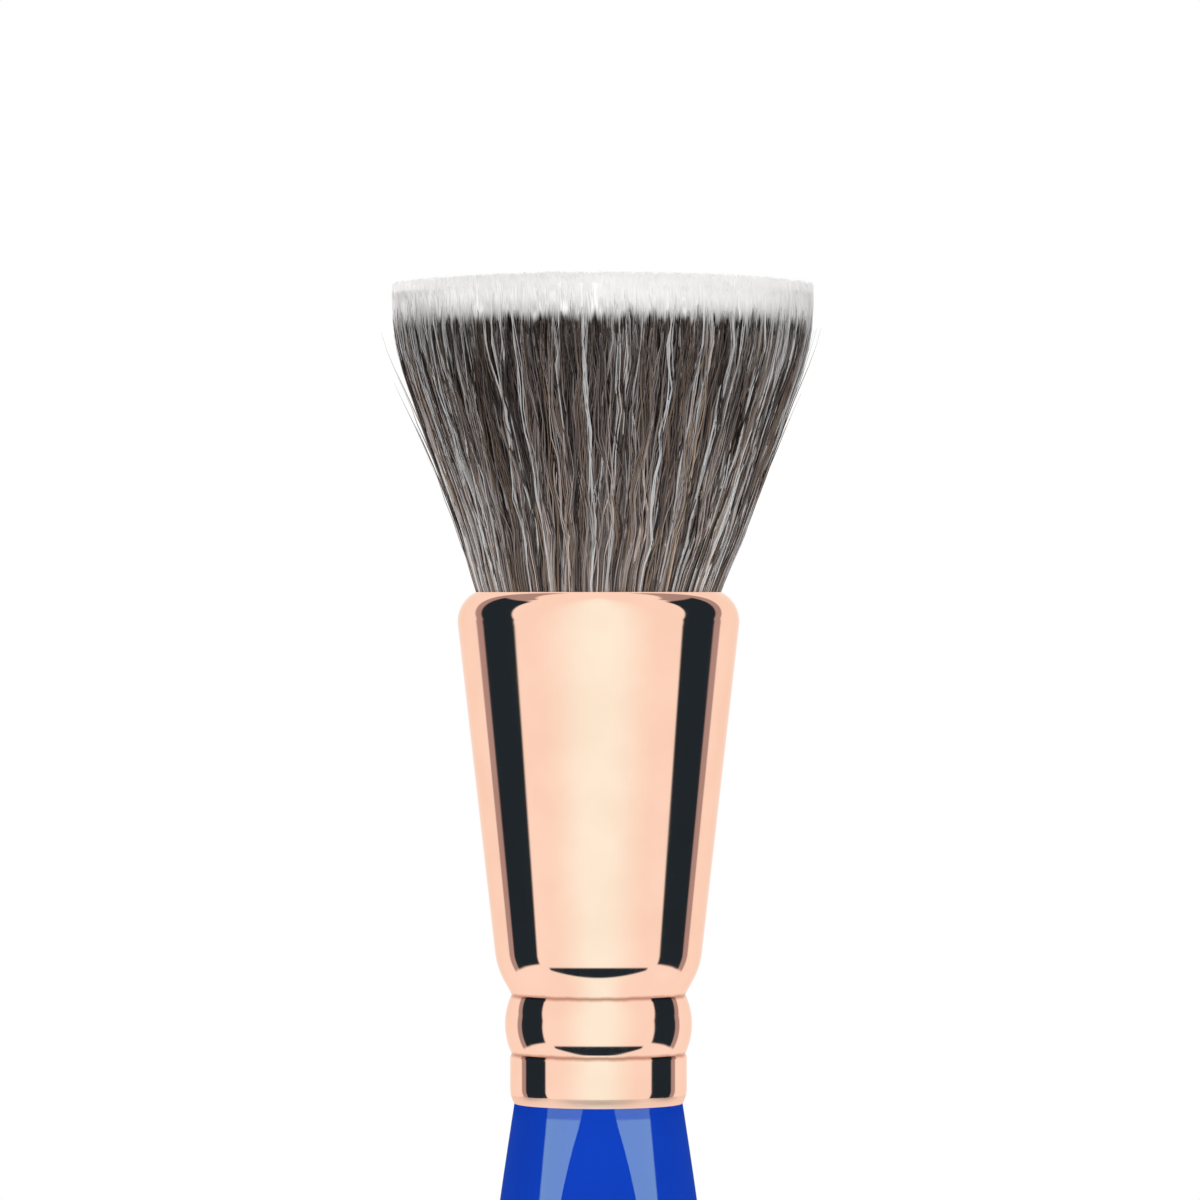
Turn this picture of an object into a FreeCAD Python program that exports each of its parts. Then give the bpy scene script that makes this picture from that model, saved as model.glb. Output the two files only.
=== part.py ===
import FreeCAD, Part
import math
import os

# A makeup brush: a flared, flat-topped head of mixed fibres in a crimped metal ferrule on a wooden handle.
# Millimetres. The origin is the middle of the handle's flat tail, +Z runs up the brush to its tips, and the
# grip's front flat faces -Y.

# Handle: a turned grip with three flats that widen downwards from the neck, and a tenon inside the ferrule
handle_length = 105.0
belly_radius = 9.5
belly_drop = 30.0
tail_radius = 5.6
tail_round = 1.6
neck_flat_depth = 0.02
belly_flat_depth = 1.6
tail_flat_depth = 0.9
station_shares = (0, 0.02, 0.045, 0.08, 0.12, 0.18, 0.26, 0.36, 0.46, 0.57, 0.68, 0.79, 0.9, 1)
tenon_length = 13.0
tenon_chamfer = 0.9
tenon_clearance = 0.12
tenon_groove_width = 1.0
tenon_groove_depth = 0.35
tenon_groove_pitch = 2.6
tenon_groove_count = 3

# Ferrule: a drawn tube with a turned-in lip, a collar, a bead between crimps, a long taper and a rolled mouth
ferrule_length = 40.0
ferrule_wall = 0.45
collar_radius = 6.93
collar_height = 3.9
lip_bend_radius = 2.4
lip_turn = 31.0
crimp_width = 0.5
crimp_depth = 0.12
bead_height = 4.6
bead_bulge = 0.4
shoulder_height = 2.1
shoulder_width = 1.04
shoulder_bend_radius = 6.0
mouth_radius = 11.04
mouth_bend_radius = 2.6
mouth_turn = 62.0

# Glue round the tenon, measured up from the lip
glue_height = 9.6

# Head: fibres that stand straight in the bound root, flare up to the brow and stand straight again above it
head_height = 24.8
head_radius = 16.5
brow_height = 5.0
brow_bend_radius = 9.0
crown_drop = 0.6
crown_flat_radius = 8.0
rim_round = 0.8
tip_length = 3.2
root_radius = 6.8
root_length = 6.2
lip_clearance = 0.05

# Strands of white and tan fibre that lie in grooves of the dark fibres and stand a little proud of them
strand_count = 36
tan_every = 3
strand_relief = 0.2
strand_depth = 0.6
strand_clearance = 0.04
white_strand_width = 0.7
tan_strand_width = 0.5
width_spread_share = 0.35
place_spread_share = 0.2

# Waxed thread wound round the root, drawn with flat sides
thread_radius = 0.3
thread_sides = 8
thread_pitch = 1.05
thread_clearance = 0.03

# Resin that pots the bound root
resin_floor = 1.2
resin_rise = 3.4

# Cuts run this far past the faces that they open
overrun = 1.0

ORIGIN = FreeCAD.Vector(0, 0, 0)
UP = FreeCAD.Vector(0, 0, 1)
GOLDEN_TURN = math.pi * (3 - math.sqrt(5))
LOFT_DEGREE = 3

# Heights that several pieces share
lip_height = handle_length
mouth_height = lip_height + ferrule_length
lower_crimp_height = lip_height + collar_height
upper_crimp_height = lower_crimp_height + bead_height

# The turned-in lip: the wall's outer and inner corner, where the handle's neck and tenon meet it
lip_angle = math.radians(lip_turn)
lip_radius = collar_radius - lip_bend_radius * (1 - math.cos(lip_angle))
lip_bore_radius = lip_radius - ferrule_wall * math.cos(lip_angle)
lip_bore_height = lip_height + ferrule_wall * math.sin(lip_angle)
tenon_radius = lip_bore_radius - tenon_clearance

# The rolled mouth: the middle of its bend, and the inner corner of the wall, which the fibres pass
mouth_angle = math.radians(mouth_turn)
mouth_bend_middle_radius = mouth_radius - mouth_bend_radius
mouth_bend_middle_height = mouth_height - mouth_bend_radius * math.sin(mouth_angle)
mouth_bore_radius = mouth_bend_middle_radius + (mouth_bend_radius - ferrule_wall) * math.cos(mouth_angle)
mouth_bore_height = mouth_height - ferrule_wall * math.sin(mouth_angle)

# The flare of the head: one slope from the root, past the mouth's inner corner, to the brow
throat_radius = mouth_bore_radius - lip_clearance
head_top_height = mouth_height + head_height
brow_foot_height = head_top_height - brow_height
flare_slope = (head_radius - throat_radius) / (brow_foot_height - mouth_bore_height)
root_top_height = mouth_bore_height - (throat_radius - root_radius) / flare_slope
root_bottom_height = root_top_height - root_length
dark_top_height = head_top_height - tip_length


def point(radius, height):
    """A point of an outline, in the plane of the brush's axis."""
    return FreeCAD.Vector(radius, 0, height)


def line(start, end):
    return Part.LineSegment(start, end).toShape()


def arc(start, middle, end):
    return Part.Arc(start, middle, end).toShape()


def bend(middle, radius, from_angle, to_angle):
    """An arc about a point of the outline's plane, its angles measured up from the outward direction."""
    ends_and_middle = []
    for angle in (from_angle, (from_angle + to_angle) / 2, to_angle):
        ends_and_middle.append(middle + point(math.cos(angle), math.sin(angle)) * radius)
    return arc(*ends_and_middle)


def bent_line(points, bend_radii):
    """Straight runs from point to point, with a tangent arc at each inner corner."""
    edges = []
    start = points[0]
    for before, corner, after, radius in zip(points, points[1:], points[2:], bend_radii):
        backward = (before - corner).normalize()
        onward = (after - corner).normalize()
        half_angle = backward.getAngle(onward) / 2
        run = radius / math.tan(half_angle)
        towards_middle = (backward + onward).normalize()
        arc_middle = corner + towards_middle * (radius / math.sin(half_angle) - radius)
        edges.append(line(start, corner + backward * run))
        edges.append(arc(corner + backward * run, arc_middle, corner + onward * run))
        start = corner + onward * run
    edges.append(line(start, points[-1]))
    return edges


def closed_to_axis(edges):
    """The edges of an outline that runs upwards, closed by level lines and the brush's axis."""
    path = Part.Wire(edges).OrderedVertexes
    bottom = path[0].Point
    top = path[-1].Point
    if bottom.z > top.z:
        bottom, top = top, bottom
    axis_bottom = point(0, bottom.z)
    axis_top = point(0, top.z)
    return edges + [line(top, axis_top), line(axis_top, axis_bottom), line(axis_bottom, bottom)]


def spun(edges):
    """The solid that a closed outline sweeps in one turn about the brush's axis."""
    return Part.Face(Part.Wire(edges)).revolve(ORIGIN, UP, 360)


def cylinder(radius, bottom, top):
    return Part.makeCylinder(radius, top - bottom, point(0, bottom))


def save(name, shape):
    shape.exportStep(f"parts/{name}.step")


def ferrule_outline():
    """The outside of the ferrule from lip to mouth."""
    lip_middle = point(collar_radius - lip_bend_radius, lip_height + lip_bend_radius * math.sin(lip_angle))
    collar_foot = point(collar_radius, lip_middle.z)
    half_crimp = crimp_width / 2

    def crimp(height):
        crease = point(collar_radius - crimp_depth, height)
        return [
            line(point(collar_radius, height - half_crimp), crease),
            line(crease, point(collar_radius, height + half_crimp)),
        ]

    bead_foot = point(collar_radius, lower_crimp_height + half_crimp)
    bead_crest = point(collar_radius + bead_bulge, lower_crimp_height + bead_height / 2)
    bead_head = point(collar_radius, upper_crimp_height - half_crimp)
    shoulder_foot = point(collar_radius, upper_crimp_height + half_crimp)
    shoulder = point(collar_radius + shoulder_width, upper_crimp_height + shoulder_height)

    # The taper is the line from the shoulder that touches the mouth's bend on its outer side
    mouth_middle = point(mouth_bend_middle_radius, mouth_bend_middle_height)
    reach = mouth_middle - shoulder
    taper_angle = math.atan2(reach.x, reach.z) + math.asin(mouth_bend_radius / reach.Length)
    taper_top = mouth_middle + point(math.cos(taper_angle), -math.sin(taper_angle)) * mouth_bend_radius

    return [
        bend(lip_middle, lip_bend_radius, -lip_angle, 0),
        line(collar_foot, point(collar_radius, lower_crimp_height - half_crimp)),
        *crimp(lower_crimp_height),
        arc(bead_foot, bead_crest, bead_head),
        *crimp(upper_crimp_height),
        *bent_line([shoulder_foot, shoulder, taper_top], [shoulder_bend_radius]),
        bend(mouth_middle, mouth_bend_radius, -taper_angle, mouth_angle),
    ]


def ferrule():
    """The outline thickened inwards to the tube's wall and spun."""
    wall = Part.Wire(ferrule_outline()).makeOffset2D(ferrule_wall, 0, True, True)
    return wall.revolve(ORIGIN, UP, 360)


def ferrule_cavity():
    """The space inside the ferrule's wall, from the lip's inner corner to the mouth's."""
    bore = Part.Wire(ferrule_outline()).makeOffset2D(ferrule_wall, 0, False, True)
    return spun(closed_to_axis(bore.Edges))


def along_grip(drop, neck, belly, tail):
    """A size of the grip at a drop below the lip: it swells from neck to belly and falls to the tail."""
    if drop < belly_drop:
        return neck + (belly - neck) * math.sin(math.pi / 2 * drop / belly_drop)
    return tail + (belly - tail) * math.cos(math.pi / 2 * (drop - belly_drop) / (handle_length - belly_drop))


def grip_section(drop):
    """A circle with three flats cut in it."""
    radius = along_grip(drop, lip_radius, belly_radius, tail_radius)
    flat_distance = radius - along_grip(drop, neck_flat_depth, belly_flat_depth, tail_flat_depth)
    half_flat = math.sqrt(radius ** 2 - flat_distance ** 2)
    height = lip_height - drop
    flat_start = FreeCAD.Vector(-half_flat, -flat_distance, height)
    flat_end = FreeCAD.Vector(half_flat, -flat_distance, height)
    corner_crest = FreeCAD.Vector(radius * math.cos(math.pi / 6), -radius * math.sin(math.pi / 6), height)
    edges = []
    for side in range(3):
        turn = FreeCAD.Rotation(UP, 120 * side)
        next_turn = FreeCAD.Rotation(UP, 120 * (side + 1))
        edges.append(line(turn.multVec(flat_start), turn.multVec(flat_end)))
        edges.append(arc(turn.multVec(flat_end), turn.multVec(corner_crest), next_turn.multVec(flat_start)))
    return Part.Wire(edges)


def tenon():
    """The turned peg that the ferrule is glued and crimped to, with rings cut in it for the glue."""
    top = lip_height + tenon_length
    outline = [
        point(tenon_radius, lip_height - overrun),
        point(tenon_radius, top - tenon_chamfer),
        point(tenon_radius - tenon_chamfer, top),
    ]
    peg = spun(closed_to_axis([line(outline[0], outline[1]), line(outline[1], outline[2])]))
    for ring in range(tenon_groove_count):
        groove_bottom = lip_height + tenon_groove_pitch * (ring + 1)
        groove_top = groove_bottom + tenon_groove_width
        groove = cylinder(tenon_radius + overrun, groove_bottom, groove_top)
        peg = peg.cut(groove.cut(cylinder(tenon_radius - tenon_groove_depth, groove_bottom, groove_top)))
    return peg


def handle():
    """The lofted grip with its tail edge rounded, and the tenon on top."""
    sections = [grip_section(handle_length * share) for share in station_shares]
    grip = Part.makeLoft(sections, True, False, False, LOFT_DEGREE)
    tail_face = min(grip.Faces, key=lambda face: face.CenterOfMass.z)
    grip = grip.makeFillet(tail_round, tail_face.Edges)
    return grip.fuse(tenon()).removeSplitter()


def tenon_glue(handle_solid):
    """The glue that fills the gap between tenon and ferrule, from the lip up."""
    sleeve = ferrule_cavity().common(cylinder(mouth_radius, lip_bore_height, lip_height + glue_height))
    return sleeve.cut(handle_solid)


def head_side(inset, top_corners, top_bend_radii):
    """The side of the head from the root's foot over the brow to the top corners, drawn in by the inset."""
    foot = point(root_radius - inset, root_bottom_height)
    root_top = point(root_radius - inset, root_top_height)
    brow = point(head_radius - inset, brow_foot_height)
    corners = [root_top, brow] + top_corners
    return [line(foot, root_top)] + bent_line(corners, [brow_bend_radius] + top_bend_radii)


def tall_side(inset):
    """The side of the head carried straight up past the tips."""
    return head_side(inset, [point(head_radius - inset, head_top_height + overrun)], [])


def whole_head():
    """The outside of all the fibres, with the rim of the flat top rounded."""
    rim = point(head_radius, head_top_height - crown_drop)
    flat_edge = point(crown_flat_radius, head_top_height)
    return spun(closed_to_axis(head_side(0, [rim, flat_edge], [rim_round])))


def under_crown(top_height):
    """All that lies under a surface like the head's top: flat in the middle, then falling past the rim."""
    fall = crown_drop / (head_radius - crown_flat_radius)
    reach = head_radius + overrun
    edge = point(reach, top_height - fall * (reach - crown_flat_radius))
    flat_edge = point(crown_flat_radius, top_height)
    foot = point(reach, root_bottom_height - overrun)
    return spun(closed_to_axis([line(foot, edge), line(edge, flat_edge)]))


def strand(depth, width, place):
    """A strip of the head's side, down to a depth, as a wedge about the brush's axis."""
    outside = tall_side(0)
    inside = tall_side(depth)
    side_top = outside[-1].Vertexes[-1].Point
    side_foot = outside[0].Vertexes[0].Point
    inward = point(-depth, 0)
    rim = [line(side_top, side_top + inward)] + inside[::-1] + [line(side_foot + inward, side_foot)]
    spread = math.degrees(width / head_radius)
    wedge = Part.Face(Part.Wire(outside + rim)).revolve(ORIGIN, UP, spread)
    wedge.rotate(ORIGIN, UP, math.degrees(place) - spread / 2)
    return wedge


def strand_rows():
    """Place, width and kind of each strand, spaced and sized a little unevenly round the head."""
    rows = []
    for index in range(strand_count):
        place = 2 * math.pi * (index + place_spread_share * math.sin(GOLDEN_TURN * index)) / strand_count
        is_tan = index % tan_every == 0
        width = tan_strand_width if is_tan else white_strand_width
        width *= 1 + width_spread_share * math.cos(2 * GOLDEN_TURN * index)
        rows.append((place, width, is_tan))
    return rows


def dark_fibres():
    """The body of the head, grooved for the strands that lie in it."""
    body = spun(closed_to_axis(tall_side(strand_relief))).common(under_crown(dark_top_height))
    grooves = []
    for place, width, _ in strand_rows():
        grooves.append(strand(strand_depth + strand_clearance, width + 2 * strand_clearance, place))
    return body.cut(grooves)


def tan_fibres():
    """The tan strands, which end with the dark fibres."""
    below_tips = under_crown(dark_top_height)
    strands = []
    for place, width, is_tan in strand_rows():
        if is_tan:
            strands.append(strand(strand_depth, width, place).common(below_tips))
    return Part.makeCompound(strands)


def white_fibres():
    """The layer of white tips, with the white strands that run down from it to the root."""
    tip_foot_height = dark_top_height + strand_clearance
    tips = whole_head().cut(under_crown(tip_foot_height))
    into_tips = under_crown(tip_foot_height + strand_depth)
    strands = []
    for place, width, is_tan in strand_rows():
        if not is_tan:
            strands.append(strand(strand_depth, width, place).common(into_tips))
    return tips.fuse(strands).removeSplitter()


def thread_path():
    """Half turns round the root, each a level-ended arc that climbs half a pitch, with straight tails."""
    radius = root_radius + thread_clearance + thread_radius
    half_turns = 2 * math.floor((root_length - 2 * thread_radius) / thread_pitch)
    wound_height = half_turns * thread_pitch / 2
    start_height = root_bottom_height + (root_length - wound_height) / 2

    def place(half_turn):
        angle = math.pi * half_turn
        climb = thread_pitch * half_turn / 2
        return FreeCAD.Vector(radius * math.cos(angle), radius * math.sin(angle), start_height + climb)

    tail = FreeCAD.Vector(0, 2 * thread_radius, 0)
    edges = [line(place(0) - tail, place(0))]
    for half_turn in range(half_turns):
        edges.append(arc(place(half_turn), place(half_turn + 1 / 2), place(half_turn + 1)))
    edges.append(line(place(half_turns), place(half_turns) + tail))
    return Part.Wire(edges)


def root_binding():
    """The thread, one unbroken tube along its path."""
    path = thread_path()
    start = path.OrderedVertexes[0].Point
    corners = []
    for side in range(thread_sides + 1):
        angle = 2 * math.pi * side / thread_sides
        corners.append(start + point(math.cos(angle), math.sin(angle)) * thread_radius)
    sweep = Part.BRepOffsetAPI.MakePipeShell(path)
    sweep.add(Part.makePolygon(corners))
    sweep.build()
    sweep.makeSolid()
    turns = path.OrderedEdges[1:-1]
    least_gap = min(lower.distToShape(upper)[0] for lower, upper in zip(turns, turns[2:])) - 2 * thread_radius
    print(f"least gap between turns of the thread: {least_gap:.3f} mm")
    return sweep.shape()


def root_resin():
    """Resin from wall to root, closed under the root, with a channel for the thread."""
    floor = root_bottom_height - resin_floor
    top = root_top_height + resin_rise
    plug = ferrule_cavity().common(cylinder(mouth_radius, floor, top))
    thread = thread_path().BoundBox
    channel_room = thread_radius + thread_clearance
    channel_radius = math.hypot(thread.XMax + thread_radius, 2 * thread_radius) + thread_clearance
    channel = cylinder(channel_radius, thread.ZMin - channel_room, thread.ZMax + channel_room)
    return plug.cut([whole_head(), channel])


def main():
    os.makedirs("parts", exist_ok=True)
    handle_solid = handle()
    save("handle", handle_solid)
    save("ferrule", ferrule())
    save("tenon_glue", tenon_glue(handle_solid))
    save("dark_fibres", dark_fibres())
    save("tan_fibres", tan_fibres())
    save("white_fibres", white_fibres())
    save("root_binding", root_binding())
    save("root_resin", root_resin())


main()
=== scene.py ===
import math

import bmesh
import bpy
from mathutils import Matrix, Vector


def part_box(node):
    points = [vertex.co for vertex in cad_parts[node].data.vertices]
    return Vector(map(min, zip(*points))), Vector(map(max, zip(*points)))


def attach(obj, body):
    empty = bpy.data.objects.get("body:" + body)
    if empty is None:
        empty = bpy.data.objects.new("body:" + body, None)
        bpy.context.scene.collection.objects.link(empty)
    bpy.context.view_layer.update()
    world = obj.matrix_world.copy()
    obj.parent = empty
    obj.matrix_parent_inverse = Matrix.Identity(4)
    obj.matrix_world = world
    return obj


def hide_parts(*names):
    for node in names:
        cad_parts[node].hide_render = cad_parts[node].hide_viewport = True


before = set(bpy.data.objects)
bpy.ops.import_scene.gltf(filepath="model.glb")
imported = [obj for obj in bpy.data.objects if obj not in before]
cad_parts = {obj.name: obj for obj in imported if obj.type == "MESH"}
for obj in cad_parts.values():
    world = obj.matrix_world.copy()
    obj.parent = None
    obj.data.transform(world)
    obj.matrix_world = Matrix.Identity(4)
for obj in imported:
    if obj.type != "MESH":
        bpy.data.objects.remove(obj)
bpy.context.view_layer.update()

# A flat-topped makeup brush, dressed around its solids, in metres. The origin is the middle of the
# handle's flat tail, +Z runs up the brush to the tips of its fibres, and the photograph looks along +Y.

MM = 0.001
join_distance = 0.001 * MM

# Sizes read from the solids
lip_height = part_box("ferrule")[0].z
mouth_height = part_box("ferrule")[1].z
tips_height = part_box("white_fibres")[1].z
head_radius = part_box("white_fibres")[1].x
root_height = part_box("dark_fibres")[0].z
tenon_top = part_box("handle")[1].z

# Ferrule
ferrule_wall = 0.45 * MM
collar_radius = 6.93 * MM
collar_height = 3.9 * MM
lip_bend_radius = 2.4 * MM
lip_turn = math.radians(31)
crease_width = 0.5 * MM
crease_depth = 0.12 * MM
crease_bend_radius = 0.08 * MM
bead_height = 4.6 * MM
bead_bulge = 0.4 * MM
shoulder_height = 2.1 * MM
shoulder_width = 1.04 * MM
shoulder_bend_radius = 6.0 * MM
mouth_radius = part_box("ferrule")[1].x
mouth_bend_radius = 2.6 * MM
mouth_turn = math.radians(62)
lower_crease_height = lip_height + collar_height
upper_crease_height = lower_crease_height + bead_height
# Painted shade along the ferrule's two creases: how far it reaches, how its edge wavers and how strong it is
crease_shade_reach = 0.28 * MM
crease_shade_waver = 0.25 * MM
crease_shade_share = 0.85
lip_dull_height = 0.8 * MM
lip_dull_fade = 0.14 * MM
lip_dullness = 0.3
ferrule_turns = 240

# Handle
belly_radius = 9.5 * MM
belly_drop = 30.0 * MM
tail_radius = 5.6 * MM
tail_round = 1.6 * MM
neck_flat_depth = 0.02 * MM
belly_flat_depth = 1.6 * MM
tail_flat_depth = 0.9 * MM
flat_edge_round = 0.12 * MM
tenon_chamfer = 0.9 * MM
tenon_clearance = 0.12 * MM
# Painted shade of the ferrule on the lacquer: its gloss is halved over this length under the lip, with a soft
# fade
lip_shade_length = 0.75 * MM
lip_shade_fade = 0.2 * MM
lip_shade_gloss_share = 0.5
tail_steps = 8
grip_steps = 150
grip_step_power = 1.6

# Head
throat_clearance = 0.05 * MM
brow_height = 5.0 * MM
crown_drop = 0.6 * MM
tip_length = 3.2 * MM

# Fibres
fibre_sides = 3
fibre_foot_drop = 3.0 * MM
head_drift = 0.3 * MM
wave_start = 0.2 * MM
wave_full = 5.0 * MM
wave_calm_length = 8.0 * MM
wave_calm_share = 0.35
depth_wave_share = 0.2
wave_lane = 3.71
turn_per_seed = 0.37
clump_turn_spread = 0.02
fibre_luck_share = 0.3
fibre_shade_share = 0.35
shade_power = 2.0
rim_drop_power = 4.0
stray_power = 3.0
least_stray_share = 0.3
foot_taper_share = 0.4
tip_taper_share = 0.7

# Places of the fibres' colours on their map
map_margin_share = 0.02
map_span_share = 0.95
map_step_share = 0.004
dim_start_share = 0.1
dim_full_share = 0.75
dim_share = 0.55
tip_start_share = 0.9
tip_full_share = 0.965

# Core of the head
core_share = 0.94
core_root_share = 0.8
core_tip_share = 0.982
core_fill_length = 1.0 * MM
core_rim_drop = 0.7 * MM
core_rim_share = 0.08
core_well_share = 0.12
core_steps = 60
core_turns = 160
core_streak_reach = 2.0 * MM
core_white_start = 3.2 * MM
core_white_full = 2.0 * MM

# Colours of the fibres: in the shade, in the light and at the tip
fibre_colours = {
    "dark_fibre": ((0.008, 0.005, 0.005, 1), (0.76, 0.64, 0.59, 1), (0.09, 0.072, 0.068, 1)),
    "tan_fibre": ((0.11, 0.074, 0.054, 1), (0.6, 0.46, 0.36, 1), (0.2, 0.16, 0.14, 1)),
    "white_fibre": ((0.4, 0.39, 0.39, 1), (0.85, 0.85, 0.85, 1), (0.86, 0.85, 0.845, 1)),
}
core_deep = (0.008, 0.006, 0.005, 1)
core_lit = (0.06, 0.05, 0.045, 1)
core_white = (0.86, 0.85, 0.845, 1)

# Finishes inside the ferrule: name, two colours, grains to the metre across and along, least roughness
hidden_finishes = {
    "root_binding": ("waxed_thread", (0.62, 0.56, 0.46, 1), (0.8, 0.75, 0.65, 1), 900, 5000, 0.55),
    "root_resin": ("cured_resin", (0.5, 0.38, 0.19, 1), (0.65, 0.54, 0.33, 1), 400, 400, 0.12),
    "tenon_glue": ("cured_glue", (0.78, 0.74, 0.62, 1), (0.88, 0.85, 0.76, 1), 600, 600, 0.4),
}
hidden_roughness_spread = 0.15

# Texture
grain_low = 0.3
grain_high = 0.7
fine_bump = 0.02 * MM
hidden_bump = 0.05 * MM
core_bump = 0.2 * MM

# Camera and photograph
photo_size = 1200
photo_axis_column = 598.5
photo_lip_row = 1103
photo_scale = 0.0783 * MM
sensor_width = 36
focal_length = 210

# Studio
floor_radius = 1.1
floor_gap = 0.1 * MM
floor_lift = 0.19
paper_level = 0.8
room_light = 0.5
room_white = 1.0
ferrule_dome_radius = 2.5
handle_dome_radius = 2.0
lean_start = math.radians(6)
lamp_size = 0.5
lamps = {
    "lamp_left": ((-0.75, -0.8, 0.5), 5.4),
    "lamp_right": ((0.75, -0.8, 0.5), 5.4),
    "lamp_above": ((0.0, -0.1, 1.15), 1.6),
    "lamp_behind": ((0.0, 1.0, 0.6), 3.8),
}


class Net:
    """A node tree, with calls that add a node and link or set its inputs."""

    def __init__(self, tree):
        self.tree = tree

    def node(self, kind, inputs=None, **settings):
        node = self.tree.nodes.new(kind)
        for name, value in settings.items():
            setattr(node, name, value)
        for key, value in (inputs or {}).items():
            self.feed(node.inputs[key], value)
        return node

    def feed(self, socket, value):
        if isinstance(value, bpy.types.NodeSocket):
            self.tree.links.new(value, socket)
        else:
            socket.default_value = value

    def math(self, operation, *values):
        return self.node("ShaderNodeMath", dict(enumerate(values)), operation=operation).outputs[0]

    def ramp(self, value, low, high, to_low=0.0, to_high=1.0):
        """A smooth rise from to_low at low to to_high at high."""
        inputs = {"Value": value, "From Min": low, "From Max": high, "To Min": to_low, "To Max": to_high}
        return self.node("ShaderNodeMapRange", inputs, interpolation_type="SMOOTHSTEP").outputs["Result"]

    def mix(self, share, first, second):
        """A colour between two others."""
        node = self.node("ShaderNodeMix", data_type="RGBA")
        colour_sockets = [socket for socket in node.inputs if socket.type == "RGBA"]
        self.feed(node.inputs[0], share)
        self.feed(colour_sockets[0], first)
        self.feed(colour_sockets[1], second)
        return [socket for socket in node.outputs if socket.type == "RGBA"][0]


def grey(level):
    return (level, level, level, 1)


def new_material(name):
    material = bpy.data.materials.new(name)
    material.use_nodes = True
    material.node_tree.nodes.clear()
    return material, Net(material.node_tree)


def new_piece(name, points, faces):
    """A mesh object at the origin, smooth except at its hard edges."""
    mesh = bpy.data.meshes.new(name)
    mesh.from_pydata(points, [], faces)
    mesh.validate()
    mesh.shade_smooth()
    piece = bpy.data.objects.new(name, mesh)
    bpy.context.scene.collection.objects.link(piece)
    return piece


def dress(piece, material, slot, *nodes):
    """Puts a material on a piece, rides it on the brush and has it stand for the solids."""
    piece.data.materials.clear()
    piece.data.materials.append(material)
    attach(piece, "root")
    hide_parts(*nodes)
    return piece


# Outlines, as lists of radius and height


def arc_points(middle, radius, start_angle, end_angle, step=math.radians(3)):
    """Points along an arc, its angles measured up from the outward direction."""
    count = max(2, math.ceil(abs(end_angle - start_angle) / step))
    points = []
    for index in range(count + 1):
        angle = start_angle + (end_angle - start_angle) * index / count
        points.append(middle + radius * Vector((math.cos(angle), math.sin(angle))))
    return points


def rounded(corners, radius):
    """A line through corners, each inner one rounded by a tangent arc."""
    points = [corners[0]]
    for before, corner, after in zip(corners, corners[1:], corners[2:]):
        backward = (before - corner).normalized()
        onward = (after - corner).normalized()
        half_angle = backward.angle(onward) / 2
        middle = corner + (backward + onward).normalized() * radius / math.sin(half_angle)
        start = corner + backward * radius / math.tan(half_angle) - middle
        turn = math.pi - 2 * half_angle
        side = 1 if backward.cross(onward) < 0 else -1
        start_angle = math.atan2(start.y, start.x)
        points += arc_points(middle, radius, start_angle, start_angle + side * turn)
    return points + [corners[-1]]


def lathe(name, outline, turns):
    """Spins a closed outline about the brush's axis."""
    points = []
    faces = []
    count = len(outline)
    for turn in range(turns):
        angle = 2 * math.pi * turn / turns
        following = (turn + 1) % turns
        for index, (radius, height) in enumerate(outline):
            points.append((radius * math.cos(angle), radius * math.sin(angle), height))
            next_index = (index + 1) % count
            faces.append((
                turn * count + index,
                following * count + index,
                following * count + next_index,
                turn * count + next_index,
            ))
    piece = new_piece(name, points, faces)
    joined = bmesh.new()
    joined.from_mesh(piece.data)
    bmesh.ops.remove_doubles(joined, verts=joined.verts, dist=join_distance)
    joined.to_mesh(piece.data)
    joined.free()
    return piece


def ferrule_outline():
    """The outside of the ferrule from its turned-in lip to its rolled mouth."""
    lip_rise = lip_bend_radius * math.sin(lip_turn)
    lip_middle = Vector((collar_radius - lip_bend_radius, lip_height + lip_rise))
    half_crease = crease_width / 2

    def crease(height):
        return [
            Vector((collar_radius, height - half_crease)),
            Vector((collar_radius - crease_depth, height)),
            Vector((collar_radius, height + half_crease)),
        ]

    half_bead = bead_height / 2 - half_crease
    bead_radius = (half_bead ** 2 + bead_bulge ** 2) / (2 * bead_bulge)
    bead_middle = Vector((collar_radius + bead_bulge - bead_radius, lower_crease_height + bead_height / 2))
    bead_turn = math.asin(half_bead / bead_radius)
    bead = arc_points(bead_middle, bead_radius, -bead_turn, bead_turn)

    shoulder = Vector((collar_radius + shoulder_width, upper_crease_height + shoulder_height))
    mouth_drop = mouth_bend_radius * math.sin(mouth_turn)
    mouth_middle = Vector((mouth_radius - mouth_bend_radius, mouth_height - mouth_drop))
    reach = mouth_middle - shoulder
    taper_angle = math.atan2(reach.x, reach.y) + math.asin(mouth_bend_radius / reach.length)
    taper_top = mouth_middle + mouth_bend_radius * Vector((math.cos(taper_angle), -math.sin(taper_angle)))

    collar_foot = lip_middle + Vector((lip_bend_radius, 0))
    lower_crease = crease(lower_crease_height)
    upper_crease = crease(upper_crease_height)
    return (
        arc_points(lip_middle, lip_bend_radius, -lip_turn, 0)
        + rounded([collar_foot, *lower_crease, bead[1]], crease_bend_radius)[1:-1]
        + bead[1:-1]
        + rounded([bead[-2], *upper_crease, shoulder], crease_bend_radius)[1:-1]
        + rounded([upper_crease[2], shoulder, taper_top], shoulder_bend_radius)[1:-1]
        + arc_points(mouth_middle, mouth_bend_radius, -taper_angle, mouth_turn)
    )


def inner_wall(outline, wall):
    """The outline drawn in square to itself by a wall's thickness."""
    points = []
    last = len(outline) - 1
    for index, point in enumerate(outline):
        along = (outline[min(index + 1, last)] - outline[max(index - 1, 0)]).normalized()
        points.append(point + wall * Vector((-along.y, along.x)))
    return points


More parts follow.
